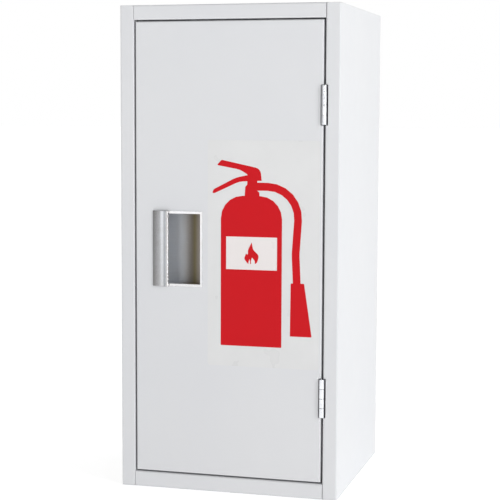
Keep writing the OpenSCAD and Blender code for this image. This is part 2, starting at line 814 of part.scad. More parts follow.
module nozzle() {
    flare = nozzle_r + 4;
    color("dimgray") on_floor() translate([hose_x, 0, 0]) rotate_extrude() polygon([
        [4, nozzle_top - 16], [hose_r + fixed_fit, nozzle_top - 16], [hose_r + fixed_fit, nozzle_top],
        [nozzle_r - 1, nozzle_top], [nozzle_r, nozzle_top - 1], [nozzle_r, nozzle_top - 62],
        [flare, nozzle_top - 94], [flare - 2, nozzle_top - 94], [4, nozzle_top - 50]]);
}

module nozzle_clip() {
    ring = nozzle_r + nudge;
    strap_r = vessel_r + label_t + nudge;
    color("black") on_floor() translate([0, 0, clip_z]) {
        difference() {
            cylinder(h = clip_h, r = strap_r + 1.5, $fn = 96);
            translate([0, 0, -1]) cylinder(h = clip_h + 2, r = strap_r, $fn = 96);
        }
        difference() {
            union() {
                block([strap_r + 1, -5, 0], [hose_x - ring, 5, clip_h]);
                translate([hose_x, 0, 0]) cylinder(h = clip_h, r = ring + 2.4);
            }
            translate([hose_x, 0, -1]) cylinder(h = clip_h + 2, r = ring);
            block([hose_x + 3, -20, -1], [hose_x + 20, 20, clip_h + 1]);
        }
    }
}

// ---- Valve works ----

module valve_stem() {
    color("silver") on_floor() {
        bar("z", [0, 0], tube_top + 4, stem_top - 1, stem_r);
        translate([0, 0, stem_top - 1]) cylinder(h = 1, r1 = stem_r, r2 = stem_r - 1);
        bar("z", [0, 0], seat_z - 5, seat_z - 3, 5);
    }
}

module stem_seal() {
    color("dimgray") on_floor() difference() {
        bar("z", [0, 0], seat_z - 3, seat_z, 7.4);
        bar("z", [0, 0], seat_z - 4, seat_z + 1, stem_r);
    }
}

// Rings of points round the wire, one after another along the helix
function spring_ring(turn) =
    let (a = 360 * turn * spring_turns, z = spring_low + (spring_high - spring_low) * turn)
    [for (k = [0 : 5]) let (w = 60 * k, r = spring_r + spring_wire * cos(w))
        [r * cos(a), r * sin(a), z + spring_wire * sin(w)]];

module valve_spring() {
    rings = 16 * spring_turns;
    points = [for (i = [0 : rings]) each spring_ring(i / rings)];
    walls = [for (i = [0 : rings - 1], k = [0 : 5])
        [6 * i + k, 6 * i + 6 + k, 6 * i + 6 + (k + 1) % 6, 6 * i + (k + 1) % 6]];
    ends = [[0, 1, 2, 3, 4, 5], [for (k = [5 : -1 : 0]) 6 * rings + k]];
    color("silver") on_floor() polyhedron(points, concat(walls, ends), convexity = 8);
}

module safety_pin() {
    eye_y = -handle_half - 6;
    color("silver") on_floor() {
        bar("y", [pin_x, pin_z], eye_y + 3, handle_half + 4, pin_r);
        translate([pin_x, eye_y, pin_z]) rotate([0, 90, 0])
            rotate_extrude() translate([3, 0]) circle(r = 0.9);
    }
}

module pin_ring() {
    ring_r = 9.5;
    color("silver") on_floor() translate([pin_x, -handle_half - 6, pin_z - ring_r - 1.1]) rotate([90, 0, 0])
        rotate_extrude() translate([ring_r, 0]) circle(r = 0.9);
}

// ---- Bracket that steadies the extinguisher ----

module at_bracket_screws() for (x = [-26, 26])
    translate([x, rear_y, floor_z + bracket_z + bracket_h / 2]) rotate([-90, 0, 0]) children();

module bracket() {
    inner = vessel_r + bracket_gap;
    color("silver") difference() {
        union() {
            translate([0, vessel_y, floor_z + bracket_z]) {
                rotate([0, 0, -15]) rotate_extrude(angle = 210, $fn = 96)
                    translate([inner, 0]) square([bracket_w, bracket_h]);
                block([-14, inner + bracket_w / 5, 0], [14, rear_y - vessel_y - 1, bracket_h]);
            }
            block([-36, rear_y - 2, floor_z + bracket_z], [36, rear_y, floor_z + bracket_z + bracket_h]);
        }
        at_bracket_screws() translate([0, 0, -10]) cylinder(h = 20, r = 2.5 + fixed_fit);
    }
}

module bracket_screws() {
    color("silver") at_bracket_screws() {
        translate([0, 0, -2]) cylinder(h = 2 + sheet, r = 2.5);
        translate([0, 0, -5]) cylinder(h = 3, r1 = 3.4, r2 = 4.8);
    }
}

side_left();
side_right();
top_panel();
bottom_panel();
back_panel();
frame_leaves();
hinge_pins();
frame_rivets();
catch_housing();
catch_magnet();
catch_screws();
buffers();
bracket();
bracket_screws();
door_skin();
door_stiffener();
door_leaves();
door_rivets();
strike_plate();
strike_rivets();
pull_cup();
pull_grip();
pull_bridge();
pull_nut();
decal_film();
pictogram();
pressure_cylinder();
foot_boot();
cylinder_label();
valve_body();
neck_seal();
dip_tube();
carry_handle();
handle_rivets();
gauge_case();
gauge_dial();
gauge_needle();
gauge_lens();
hose();
hose_fitting();
nozzle();
nozzle_clip();
squeeze_lever();
valve_stem();
stem_seal();
valve_spring();
safety_pin();
pin_ring();
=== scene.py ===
"""Looks of a white folded-steel cabinet and of the fire extinguisher inside it.

Everything is in metres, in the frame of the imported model: the door faces -Y and +Z is up.
"""
import json
import math

import bmesh
import bpy
from mathutils import Matrix, Vector


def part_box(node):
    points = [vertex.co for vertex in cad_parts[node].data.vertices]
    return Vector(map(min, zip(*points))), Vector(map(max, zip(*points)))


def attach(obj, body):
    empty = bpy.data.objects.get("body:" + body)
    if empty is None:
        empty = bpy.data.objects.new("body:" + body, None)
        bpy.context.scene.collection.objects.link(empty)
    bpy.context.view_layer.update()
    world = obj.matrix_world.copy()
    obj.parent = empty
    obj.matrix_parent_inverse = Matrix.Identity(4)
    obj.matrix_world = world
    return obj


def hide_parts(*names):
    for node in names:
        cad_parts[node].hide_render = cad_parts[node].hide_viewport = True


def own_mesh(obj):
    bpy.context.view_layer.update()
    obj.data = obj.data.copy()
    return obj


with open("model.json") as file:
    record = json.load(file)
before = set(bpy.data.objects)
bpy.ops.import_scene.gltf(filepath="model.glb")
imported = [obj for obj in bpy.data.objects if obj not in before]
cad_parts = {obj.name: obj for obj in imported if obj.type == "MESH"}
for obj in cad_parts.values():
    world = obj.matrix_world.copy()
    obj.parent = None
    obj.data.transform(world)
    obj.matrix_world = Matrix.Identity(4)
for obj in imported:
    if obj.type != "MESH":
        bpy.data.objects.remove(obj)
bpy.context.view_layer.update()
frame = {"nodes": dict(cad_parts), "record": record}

MM = 0.001

# Camera: where it looks from, round the middle of the front face
CAMERA_YAW = math.radians(15.45)
CAMERA_PITCH = math.radians(5.55)
CAMERA_ROLL = math.radians(0.22)
CAMERA_DISTANCE = 1.884
CAMERA_LENS = 103.0
AIM_RIGHT = 0.0307
AIM_UP = 0.0038

# Studio: strength of the surroundings on each side, and the floor's own light near and far
STUDIO_LEFT = 0.19
STUDIO_RIGHT = 0.57
FLOOR_HALF = 40.0
FLOOR_GLOW = (0.5, 0.56)

# Corners of the pictogram's window, across and up
WINDOW_LOW = (-2 * MM, 302.5 * MM)
WINDOW_HIGH = (67.5 * MM, 346 * MM)

# Painted reflections and shade across the pull, in bands that are each a place from 0 to 1 and a colour: on
# the grip they run over its width from the pull's left edge and end in a painted highlight on its rim, and in
# the recess from that edge to the right one
GRIP_WIDTH = 24 * MM
GRIP_PAINTED_REFLECTION_BANDS = (
    (0.0, (0.30, 0.30, 0.30)), (0.1, (0.42, 0.42, 0.42)), (0.3, (0.62, 0.62, 0.63)),
    (0.5, (0.82, 0.84, 0.86)), (0.62, (0.80, 0.82, 0.84)), (0.70, (0.48, 0.50, 0.52)),
    (0.78, (0.55, 0.57, 0.59)), (0.84, (1, 1, 1)),
)
# Painted light in the recess: a bright bluish painted reflection at its open side, brown painted shade at its
# steep wall
RECESS_PAINTED_LIGHT_BANDS = (
    (0.0, (0.98, 1.03, 1.08)), (0.36, (0.94, 0.98, 1.03)), (0.5, (0.66, 0.68, 0.70)),
    (0.6, (0.52, 0.50, 0.48)), (0.7, (0.42, 0.37, 0.30)), (0.76, (0.40, 0.34, 0.17)),
    (0.86, (0.64, 0.56, 0.48)),
)

# Pressure vessel: its lowest point above the extinguisher's base, then the weld round it,
# as the height of its middle above that base, its half width and how far it stands out
VESSEL_FOOT = 6 * MM
SEAM_Z = 352 * MM
SEAM_HALF = 2.6 * MM
SEAM_HEIGHT = 0.5 * MM

FRONT_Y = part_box("door_skin")[0].y
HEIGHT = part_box("side_left")[1].z
AXIS = (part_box("foot_boot")[0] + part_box("foot_boot")[1]) / 2
VESSEL_R = (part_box("pressure_cylinder")[1].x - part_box("pressure_cylinder")[0].x) / 2
X_AXIS, Y_AXIS, Z_AXIS = Vector((1, 0, 0)), Vector((0, 1, 0)), Vector((0, 0, 1))


# ---- Small helpers ----

def link_object(name, data):
    """New object that holds a mesh, a camera or a light."""
    obj = bpy.data.objects.new(name, data)
    bpy.context.scene.collection.objects.link(obj)
    return obj


def rgba(colour):
    return (*colour, 1.0)


def scaled(colour, factor):
    return tuple(min(1.0, channel * factor) for channel in colour)


def tinted(colour, tint):
    return tuple(channel * share for channel, share in zip(colour, tint))


def add_node(tree, kind, inputs=None, **settings):
    """New node with its properties set and its inputs linked or filled, by name or index."""
    node = tree.nodes.new(kind)
    for key, value in settings.items():
        setattr(node, key, value)
    for key, value in (inputs or {}).items():
        if isinstance(value, bpy.types.NodeSocket):
            tree.links.new(value, node.inputs[key])
        else:
            node.inputs[key].default_value = value
    return node


def coords(tree, scale=(1, 1, 1), space="Object"):
    """The object's own coordinates, stretched by scale."""
    source = add_node(tree, "ShaderNodeTexCoord")
    mapping = add_node(tree, "ShaderNodeMapping", {"Vector": source.outputs[space], "Scale": scale})
    return mapping.outputs["Vector"]


def split(tree, vector):
    """The X, Y and Z of a vector."""
    return add_node(tree, "ShaderNodeSeparateXYZ", {"Vector": vector}).outputs[:]


def noise(tree, vector, scale, detail=2.0, rough=0.5):
    inputs = {"Vector": vector, "Scale": scale, "Detail": detail, "Roughness": rough}
    return add_node(tree, "ShaderNodeTexNoise", inputs).outputs["Fac"]


def spread(tree, value, low, high, from_low=0.3, from_high=0.7):
    """Maps a value, such as noise, to a range."""
    inputs = {"Value": value, "From Min": from_low, "From Max": from_high, "To Min": low, "To Max": high}
    return add_node(tree, "ShaderNodeMapRange", inputs).outputs["Result"]


def maths(tree, operation, first, second=0.0):
    return add_node(tree, "ShaderNodeMath", {0: first, 1: second}, operation=operation).outputs[0]


def within(tree, value, low, high):
    """1 where the value lies between low and high, and 0 elsewhere."""
    above = maths(tree, "GREATER_THAN", value, low)
    return maths(tree, "MULTIPLY", above, maths(tree, "LESS_THAN", value, high))


def within_box(tree, across, up, low, high):
    """1 inside the rectangle between two corners, and 0 elsewhere."""
    wide = within(tree, across, low[0], high[0])
    return maths(tree, "MULTIPLY", wide, within(tree, up, low[1], high[1]))


def blend_value(tree, factor, first, second):
    """Runs from first to second. The Mix node repeats its sockets' names, so they go by index."""
    return add_node(tree, "ShaderNodeMix", {0: factor, 2: first, 3: second}, data_type="FLOAT").outputs[0]


def blend_colour(tree, factor, first, second, mode="MIX"):
    """Runs from the first colour to the second, or to their product in the mode MULTIPLY."""
    inputs = {0: factor, 6: first, 7: second}
    return add_node(tree, "ShaderNodeMix", inputs, data_type="RGBA", blend_type=mode).outputs[2]


def darken(tree, colour, shade):
    return blend_colour(tree, 1.0, colour, shade, "MULTIPLY")


def ramp(tree, value, stops):
    """Colour that runs through stops, each a place from 0 to 1 and a colour."""
    node = add_node(tree, "ShaderNodeValToRGB", {"Fac": value})
    marks = node.color_ramp.elements
    while len(marks) < len(stops):
        marks.new(1.0)
    for mark, (place, colour) in zip(marks, stops):
        mark.position = place
        mark.color = rgba(colour)
    return node.outputs["Color"]


def bump(tree, height, depth, normal=None):
    """Normal roughened by height, on top of another normal if one is given."""
    inputs = {"Height": height, "Distance": depth}
    if normal is not None:
        inputs["Normal"] = normal
    return add_node(tree, "ShaderNodeBump", inputs).outputs["Normal"]


def painted_corner_shade(tree, reach, low):
    """Painted shade: 1 in the open and low in tight corners, where light is lost."""
    node = add_node(tree, "ShaderNodeAmbientOcclusion", {"Distance": reach}, samples=8)
    return spread(tree, node.outputs["AO"], low, 1.0, from_low=0.0, from_high=0.75)


def shader(name, base, roughness, **inputs):
    """New material with one Principled shader; inputs are its input names with _ for a space."""
    material = bpy.data.materials.new(name)
    material.use_nodes = True
    tree = material.node_tree
    tree.nodes.clear()
    out = add_node(tree, "ShaderNodeOutputMaterial")
    values = {"Base Color": rgba(base), "Roughness": roughness}
    values.update({key.replace("_", " "): value for key, value in inputs.items()})
    body = add_node(tree, "ShaderNodeBsdfPrincipled", values)
    tree.links.new(body.outputs["BSDF"], out.inputs["Surface"])
    return material, tree, body


def feed(tree, body, **sockets):
    """Links sockets to the shader's inputs, named as in shader()."""
    for key, socket in sockets.items():
        tree.links.new(socket, body.inputs[key.replace("_", " ")])


# ---- Materials ----

def sheet_skin(tree, place, peel):
    """Normal of painted sheet that isn't quite flat, with a fine orange peel of that depth."""
    wave = bump(tree, noise(tree, place, 5.0, 1.0), 0.5 * MM)
    return bump(tree, noise(tree, place, 620.0), peel, wave)


def powder_coat(name, base, roughness):
    """Baked powder: fine orange peel with faint clouding, and painted shade that darkens the gaps."""
    material, tree, body = shader(name, base, roughness, IOR=1.5, Specular_IOR_Level=0.5)
    place = coords(tree)
    cloud = noise(tree, place, 4.0, 3.0)
    dull = tinted(base, (0.972, 0.976, 0.988))
    paint = blend_colour(tree, spread(tree, cloud, 0.0, 1.0), rgba(dull), rgba(scaled(base, 1.018)))
    speck = spread(tree, noise(tree, place, 2600.0, 1.0), 0.985, 1.0, from_low=0.35, from_high=0.5)
    # Painted shade in the gaps and corners, times fine dark specks
    shade = maths(tree, "MULTIPLY", painted_corner_shade(tree, 9 * MM, 0.78), speck)
    handled = spread(tree, noise(tree, place, 45.0), roughness - 0.02, roughness + 0.03)
    rough = maths(tree, "ADD", spread(tree, cloud, -0.03, 0.03), handled)
    feed(tree, body, Base_Color=darken(tree, paint, shade), Roughness=rough,
         Normal=sheet_skin(tree, place, 0.012 * MM))
    return material


def printed_film(name, base, roughness, level, panel=None):
    """Ink or clear vinyl on the paint: smoother than it, and faintly uneven.

    panel is a colour printed behind the pictogram's window.
    """
    material, tree, body = shader(name, base, roughness, Specular_IOR_Level=level)
    place = coords(tree)
    tone = noise(tree, place, 22.0, 4.0)
    colour = blend_colour(tree, spread(tree, tone, 0.0, 1.0), rgba(scaled(base, 0.96)), rgba(base))
    if panel:
        x, _, z = split(tree, place)
        colour = blend_colour(tree, within_box(tree, x, z, WINDOW_LOW, WINDOW_HIGH), colour, rgba(panel))
    feed(tree, body, Base_Color=colour, Normal=sheet_skin(tree, place, 0.006 * MM),
         Roughness=spread(tree, tone, roughness - 0.04, roughness + 0.05))
    return material


def drawn_grain(tree, roughness, along):
    """Noise stretched along one axis, softer patches, and the roughness they give together."""
    across, lengthwise = 1500.0, 14.0
    scale = [lengthwise if axis == along else across for axis in "XYZ"]
    grain = noise(tree, coords(tree, scale), 1.0, 4.0, 0.65)
    patch = noise(tree, coords(tree), 60.0, 3.0)
    uneven = maths(tree, "ADD", spread(tree, grain, -0.04, 0.05), spread(tree, patch, -0.02, 0.03))
    return grain, patch, maths(tree, "ADD", uneven, roughness)


def brushed_metal(name, base, roughness):
    """Metal with fine upright tool marks, which change its colour, gloss and skin."""
    material, tree, body = shader(name, base, roughness, Metallic=1.0)
    grain, _, rough = drawn_grain(tree, roughness, "Z")
    colour = blend_colour(tree, spread(tree, grain, 0.0, 1.0), rgba(scaled(base, 0.86)), rgba(base))
    feed(tree, body, Base_Color=colour, Roughness=rough, Normal=bump(tree, grain, 0.004 * MM))
    return material


def pull_steel(name, base, roughness):
    """Stainless pull, brushed from side to side, so that it spreads what it reflects up and down.

    Bands of painted reflection run across the grip, with a painted highlight on its rim. The recess is satin,
    with painted light across it:
    bright and bluish at its open side, darker and straw brown where painted shade falls at its steep wall.
    """
    material, tree, body = shader(name, base, roughness, Metallic=1.0, Anisotropic=0.75,
                                  Anisotropic_Rotation=0.25)
    grain, patch, rough = drawn_grain(tree, roughness, "X")
    x, y, _ = split(tree, coords(tree))
    left, right = (corner.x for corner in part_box("pull_cup"))
    inward = spread(tree, y, 0.0, 1.0, FRONT_Y + 0.6 * MM, FRONT_Y + 5 * MM)
    # Painted reflections on the grip and painted light and shade in the recess, set by place across the pull
    painted_grip_reflections = ramp(tree, spread(tree, x, 0.0, 1.0, left, left + GRIP_WIDTH), GRIP_PAINTED_REFLECTION_BANDS)
    painted_recess_light = ramp(tree, spread(tree, x, 0.0, 1.0, left, right), RECESS_PAINTED_LIGHT_BANDS)
    colour = darken(tree, blend_colour(tree, inward, painted_grip_reflections, painted_recess_light), rgba(base))
    colour = darken(tree, colour, spread(tree, grain, 0.86, 1.0))
    warm = spread(tree, patch, 0.0, 0.5)
    colour = blend_colour(tree, warm, colour, rgba((1.0, 0.97, 0.92)), "MULTIPLY")
    # Painted shade in the pull's tight corners
    shade = darken(tree, colour, painted_corner_shade(tree, 5 * MM, 0.75))
    rough = maths(tree, "ADD", rough, maths(tree, "MULTIPLY", inward, 0.22))
    round_z = add_node(tree, "ShaderNodeTangent", direction_type="RADIAL", axis="Z")
    feed(tree, body, Base_Color=shade, Roughness=rough, Normal=bump(tree, grain, 0.002 * MM),
         Metallic=spread(tree, inward, 1.0, 0.35, 0.0, 1.0), Tangent=round_z.outputs["Tangent"])
    return material


def plated_metal(name, base, roughness):
    """Zinc or nickel plate: a fine spangle with soft dull patches."""
    material, tree, body = shader(name, base, roughness, Metallic=1.0)
    place = coords(tree)
    spangle = noise(tree, place, 900.0, 3.0, 0.6)
    patch = noise(tree, place, 90.0, 3.0)
    dull = tinted(base, (0.84, 0.85, 0.88))
    colour = blend_colour(tree, spread(tree, patch, 0.0, 0.8), rgba(base), rgba(dull))
    worn = spread(tree, patch, roughness, roughness + 0.08)
    # Colour darkened by painted shade in tight corners
    feed(tree, body, Base_Color=darken(tree, colour, painted_corner_shade(tree, 2.5 * MM, 0.35)),
         Roughness=maths(tree, "ADD", spread(tree, spangle, -0.04, 0.05), worn),
         Normal=bump(tree, spangle, 0.004 * MM))
    return material


def gloss_paint(name, base, roughness):
    """Sprayed enamel with long orange peel, rubbed duller in places."""
    material, tree, body = shader(name, base, roughness, Coat_Weight=0.6, Coat_Roughness=0.08)
    place = coords(tree)
    patch = noise(tree, place, 14.0, 4.0)
    colour = blend_colour(tree, spread(tree, patch, 0.0, 1.0), rgba(scaled(base, 0.82)), rgba(base))
    # Colour darkened by painted shade in corners and gaps
    feed(tree, body, Base_Color=darken(tree, colour, painted_corner_shade(tree, 6 * MM, 0.5)),
         Normal=bump(tree, noise(tree, place, 330.0), 0.012 * MM),
         Roughness=spread(tree, patch, roughness - 0.05, roughness + 0.12))
    return material


def moulded(name, base, roughness, grain_scale=1300.0, depth=0.02 * MM):
    """Moulded plastic or rubber with a fine spark-eroded grain."""
    material, tree, body = shader(name, base, roughness, Specular_IOR_Level=0.4)
    place = coords(tree)
    patch = noise(tree, place, 40.0, 3.0)
    light = tuple(min(1.0, channel * 1.12 + 0.004) for channel in base)
    colour = blend_colour(tree, spread(tree, patch, 0.0, 1.0), rgba(base), rgba(light))
    # Colour darkened by painted shade in corners and gaps
    feed(tree, body, Base_Color=darken(tree, colour, painted_corner_shade(tree, 4 * MM, 0.55)),
         Normal=bump(tree, noise(tree, place, grain_scale), depth),
         Roughness=spread(tree, patch, roughness - 0.05, roughness + 0.08))
    return material


def braided_rubber(name, base):
    """Rubber hose with the wrap of its cloth-cured cover, from the tube's own length and turn."""
    strands_round, strands_per_metre = 12.0, 420.0
    material, tree, body = shader(name, base, 0.55, Specular_IOR_Level=0.35)
    turns, along, _ = split(tree, coords(tree, space="UV"))
    ridges = []
    for lean in (-1.0, 1.0):
        round_it = maths(tree, "MULTIPLY", turns, strands_round * lean)
        phase = maths(tree, "ADD", round_it, maths(tree, "MULTIPLY", along, strands_per_metre))
        wave = maths(tree, "SINE", maths(tree, "MULTIPLY", phase, math.pi))
        ridges.append(maths(tree, "ABSOLUTE", wave))
    height = maths(tree, "MULTIPLY", *ridges)
    fine = noise(tree, coords(tree), 1500.0)
    colour = blend_colour(tree, height, rgba(base), rgba(scaled(base, 1.9)))
    skin = bump(tree, fine, 0.02 * MM, bump(tree, height, 0.16 * MM))
    feed(tree, body, Base_Color=colour, Normal=skin, Roughness=spread(tree, fine, 0.48, 0.66))
    return material


def dial_face(name):
    """Gauge dial: a green arc between two red ones, with ticks, on white card."""
    card, red, green, ink = (0.86, 0.86, 0.83), (0.62, 0.02, 0.02), (0.02, 0.30, 0.07), (0.02, 0.02, 0.02)
    green_turn, arc_turn, ticks, tick_cut = 0.55, 2.1, 12.0, 0.93
    material, tree, body = shader(name, card, 0.45)
    low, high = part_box("gauge_dial")
    centre = (low + high) / 2
    radius = (high.x - low.x) / 2
    x, _, z = split(tree, coords(tree))
    across = maths(tree, "SUBTRACT", x, centre.x)
    up = maths(tree, "SUBTRACT", z, centre.z)
    angle = maths(tree, "ABSOLUTE", maths(tree, "ARCTAN2", across, up))
    square = maths(tree, "ADD", maths(tree, "MULTIPLY", across, across), maths(tree, "MULTIPLY", up, up))
    reach = maths(tree, "SQRT", square)

    band = within(tree, reach, radius * 0.55, radius * 0.82)
    arc = maths(tree, "MULTIPLY", band, maths(tree, "LESS_THAN", angle, arc_turn))
    colour = blend_colour(tree, maths(tree, "LESS_THAN", angle, green_turn), rgba(red), rgba(green))
    beat = maths(tree, "COSINE", maths(tree, "MULTIPLY", angle, ticks))
    rim = within(tree, reach, radius * 0.84, radius * 0.93)
    tick = maths(tree, "MULTIPLY", rim, maths(tree, "GREATER_THAN", beat, tick_cut))
    face = blend_colour(tree, arc, rgba(card), colour)
    face = blend_colour(tree, tick, face, rgba(ink))
    feed(tree, body, Base_Color=face, Roughness=spread(tree, noise(tree, coords(tree), 400.0), 0.4, 0.55))
    return material


def wrapped_label(name):
    """Label film round the cylinder: a red head band, three tiles and a plain panel, with no words."""
    paper, red, blue = (0.86, 0.85, 0.80), (0.55, 0.015, 0.015), (0.05, 0.12, 0.30)
    panel, grime = (0.70, 0.69, 0.64), (0.45, 0.42, 0.36)
    material, tree, body = shader(name, paper, 0.3, Coat_Weight=0.3, Coat_Roughness=0.1)
    low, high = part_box("cylinder_label")
    x, y, z = split(tree, coords(tree))
    turn = maths(tree, "ARCTAN2", x, maths(tree, "SUBTRACT", AXIS.y, y))
    across = maths(tree, "MULTIPLY", turn, VESSEL_R)
    up = maths(tree, "SUBTRACT", z, low.z)
    height = high.z - low.z
    half = math.radians(60) * VESSEL_R
    tile_half, tile_low, tile_high = 14 * MM, height * 0.48, height * 0.48 + 28 * MM
    mark_half, mark_high = 6 * MM, height * 0.48 + 20 * MM

    head = within(tree, up, height * 0.78, height * 0.95)
    face = blend_colour(tree, head, rgba(paper), rgba(red))
    for k in (-1, 0, 1):
        middle = k * half * 0.56
        tile = within_box(tree, across, up, (middle - tile_half, tile_low), (middle + tile_half, tile_high))
        face = blend_colour(tree, tile, face, rgba(blue))
        mark_low = tile_low + (8 - 3 * k) * MM
        mark = within_box(tree, across, up, (middle - mark_half, mark_low), (middle + mark_half, mark_high))
        face = blend_colour(tree, mark, face, rgba(paper))
    foot = within_box(tree, across, up, (-half * 0.84, height * 0.08), (half * 0.84, height * 0.34))
    face = blend_colour(tree, foot, face, rgba(panel))
    wear = noise(tree, coords(tree), 120.0, 4.0)
    face = blend_colour(tree, spread(tree, wear, 0.0, 0.12), face, rgba(grime))
    feed(tree, body, Base_Color=face, Roughness=spread(tree, wear, 0.24, 0.4),
         Normal=bump(tree, noise(tree, coords(tree), 500.0), 0.01 * MM))
    return material


def clear_glass(name):
    """Lens of clear plastic with faint smears."""
    material, tree, body = shader(name, (0.97, 0.98, 0.98), 0.03, Transmission_Weight=1.0, IOR=1.2)
    smear = noise(tree, coords(tree), 150.0, 3.0)
    feed(tree, body, Roughness=spread(tree, smear, 0.01, 0.08))
    return material


def make_materials():
    """One material for each slot of the record."""
    white_film, window_panel = (0.742, 0.744, 0.747), (0.81, 0.765, 0.757)
    return {
        "powder_coat": powder_coat("white powder coat", (0.722, 0.727, 0.742), 0.36),
        "hinge_zinc": plated_metal("bright hinge plate", (0.90, 0.91, 0.93), 0.2),
        "zinc_hardware": plated_metal("zinc plate", (0.72, 0.73, 0.74), 0.28),
        "stainless": pull_steel("brushed stainless", (0.68, 0.68, 0.695), 0.2),
        "clear_film": printed_film("clear film", white_film, 0.3, 0.5, window_panel),
        "red_print": printed_film("red print", (0.62, 0.005, 0.011), 0.42, 0.14),
        "ivory_plastic": moulded("ivory nylon", (0.62, 0.60, 0.52), 0.45),
        "magnet": moulded("ferrite", (0.05, 0.05, 0.055), 0.4, 2500.0, 0.03 * MM),
        "black_rubber": moulded("black rubber", (0.018, 0.018, 0.019), 0.62, 900.0, 0.03 * MM),
        "red_paint": gloss_paint("red enamel", (0.50, 0.010, 0.012), 0.22),
        "black_plastic": moulded("black plastic", (0.02, 0.02, 0.021), 0.42),
        "label": wrapped_label("cylinder label"),
        "brass": brushed_metal("turned brass", (0.72, 0.50, 0.22), 0.26),
        "white_plastic": moulded("white plastic", (0.75, 0.75, 0.72), 0.4),
        "black_paint": gloss_paint("black enamel", (0.022, 0.022, 0.024), 0.3),
        "chrome": plated_metal("chrome", (0.85, 0.85, 0.87), 0.08),
        "dial": dial_face("gauge dial"),
        "needle": moulded("needle black", (0.015, 0.015, 0.015), 0.5),
        "lens": clear_glass("gauge lens"),
    }


# ---- CAD nodes: their finish ----

# Round on the sharp edges of each slot's parts, in millimetres
EDGE_ROUNDING = {
    "powder_coat": 0.35, "hinge_zinc": 0.3, "stainless": 0.25, "zinc_hardware": 0.2, "black_paint": 0.35,
    "black_plastic": 0.5, "ivory_plastic": 0.4, "brass": 0.4, "chrome": 0.3, "red_paint": 0.3,
}
SMALL_ROUNDING = 0.1
SHARP_ANGLE = math.radians(32)


def finish_cad_node(name, slot, material):
    """Gives a CAD node its material, smooth bends and a small round on its sharp edges."""
    obj = frame["nodes"][name]
    obj.data.materials.clear()
    obj.data.materials.append(material)
    obj.data.shade_smooth()
    weld = obj.modifiers.new("weld", "WELD")
    weld.merge_threshold = 0.002 * MM
    edge = obj.modifiers.new("edges", "BEVEL")
    edge.width = EDGE_ROUNDING.get(slot, SMALL_ROUNDING) * MM
    edge.segments = 2
    edge.limit_method = "ANGLE"
    edge.angle_limit = SHARP_ANGLE
    facing = obj.modifiers.new("facing", "WEIGHTED_NORMAL")
    facing.mode = "FACE_AREA"
    facing.weight = 100


def finish_cad(materials):
    for part in frame["record"]["subparts"]:
        finish_cad_node(part["node"], part["material_slot"], materials[part["material_slot"]])


# ---- Pieces made here ----

def skin_rings(name, rings, uv=None):
    """Skins rings of points into a smooth mesh with a cap at each end; uv gives each ring's V."""
    work = bmesh.new()
    layer = work.loops.layers.uv.new("UVMap") if uv else None
    loops = [[work.verts.new(point) for point in ring] for ring in rings]
    count = len(loops[0])
    for i in range(len(loops) - 1):
        for k in range(count):
            after = (k + 1) % count
            face = work.faces.new((loops[i][k], loops[i][after], loops[i + 1][after], loops[i + 1][k]))
            face.smooth = True
            if uv:
                corners = ((i, k), (i, k + 1), (i + 1, k + 1), (i + 1, k))
                for loop, (row, turn) in zip(face.loops, corners):
                    loop[layer].uv = (turn / count, uv[row])
    work.faces.new(list(reversed(loops[0])))
    work.faces.new(loops[-1])
    bmesh.ops.recalc_face_normals(work, faces=work.faces)
    mesh = bpy.data.meshes.new(name)
    work.to_mesh(mesh)
    work.free()
    return link_object(name, mesh)


def ring_round(centre, first, second, radius, count, ripple=None):
    """Circle of points round centre, in the plane of two unit vectors."""
    points = []
    for k in range(count):
        turn = math.tau * k / count
        reach = radius + (ripple(turn) if ripple else 0.0)
        points.append(centre + first * (reach * math.cos(turn)) + second * (reach * math.sin(turn)))
    return points


def make_hose(material):
    """Hose from the valve outlet over one bend and down to the nozzle.

    Its UVs are the turn round it and the length along it in metres, for its cover's wrap.
    """
    sides, bend_steps, drop_steps = 40, 56, 100
    low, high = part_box("hose")
    radius = (high.y - low.y) / 2
    bend = high.x - radius - low.x
    middle = Vector((low.x, (low.y + high.y) / 2, high.z - radius - bend))
    straight = middle.z - low.z
    rings, along = [], []
    for i in range(bend_steps + 1):
        turn = math.pi / 2 * i / bend_steps
        outward = Vector((math.sin(turn), 0, math.cos(turn)))
        rings.append(ring_round(middle + outward * bend, outward, Y_AXIS, radius, sides))
        along.append(bend * turn)
    for i in range(1, drop_steps + 1):
        drop = straight * i / drop_steps
        centre = middle + Vector((bend, 0, -drop))
        rings.append(ring_round(centre, X_AXIS, Y_AXIS, radius, sides))
        along.append(bend * math.pi / 2 + drop)
    hose = skin_rings("hose_cover", rings, along)
    hose.data.materials.append(material)
    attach(hose, "extinguisher")
    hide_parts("hose")


def arc_points(centre, radius, start, stop, count):
    """Points (radius, height) along an arc, between two angles in degrees."""
    turns = [math.radians(start + (stop - start) * i / count) for i in range(count + 1)]
    return [(centre[0] + radius * math.cos(t), centre[1] + radius * math.sin(t)) for t in turns]


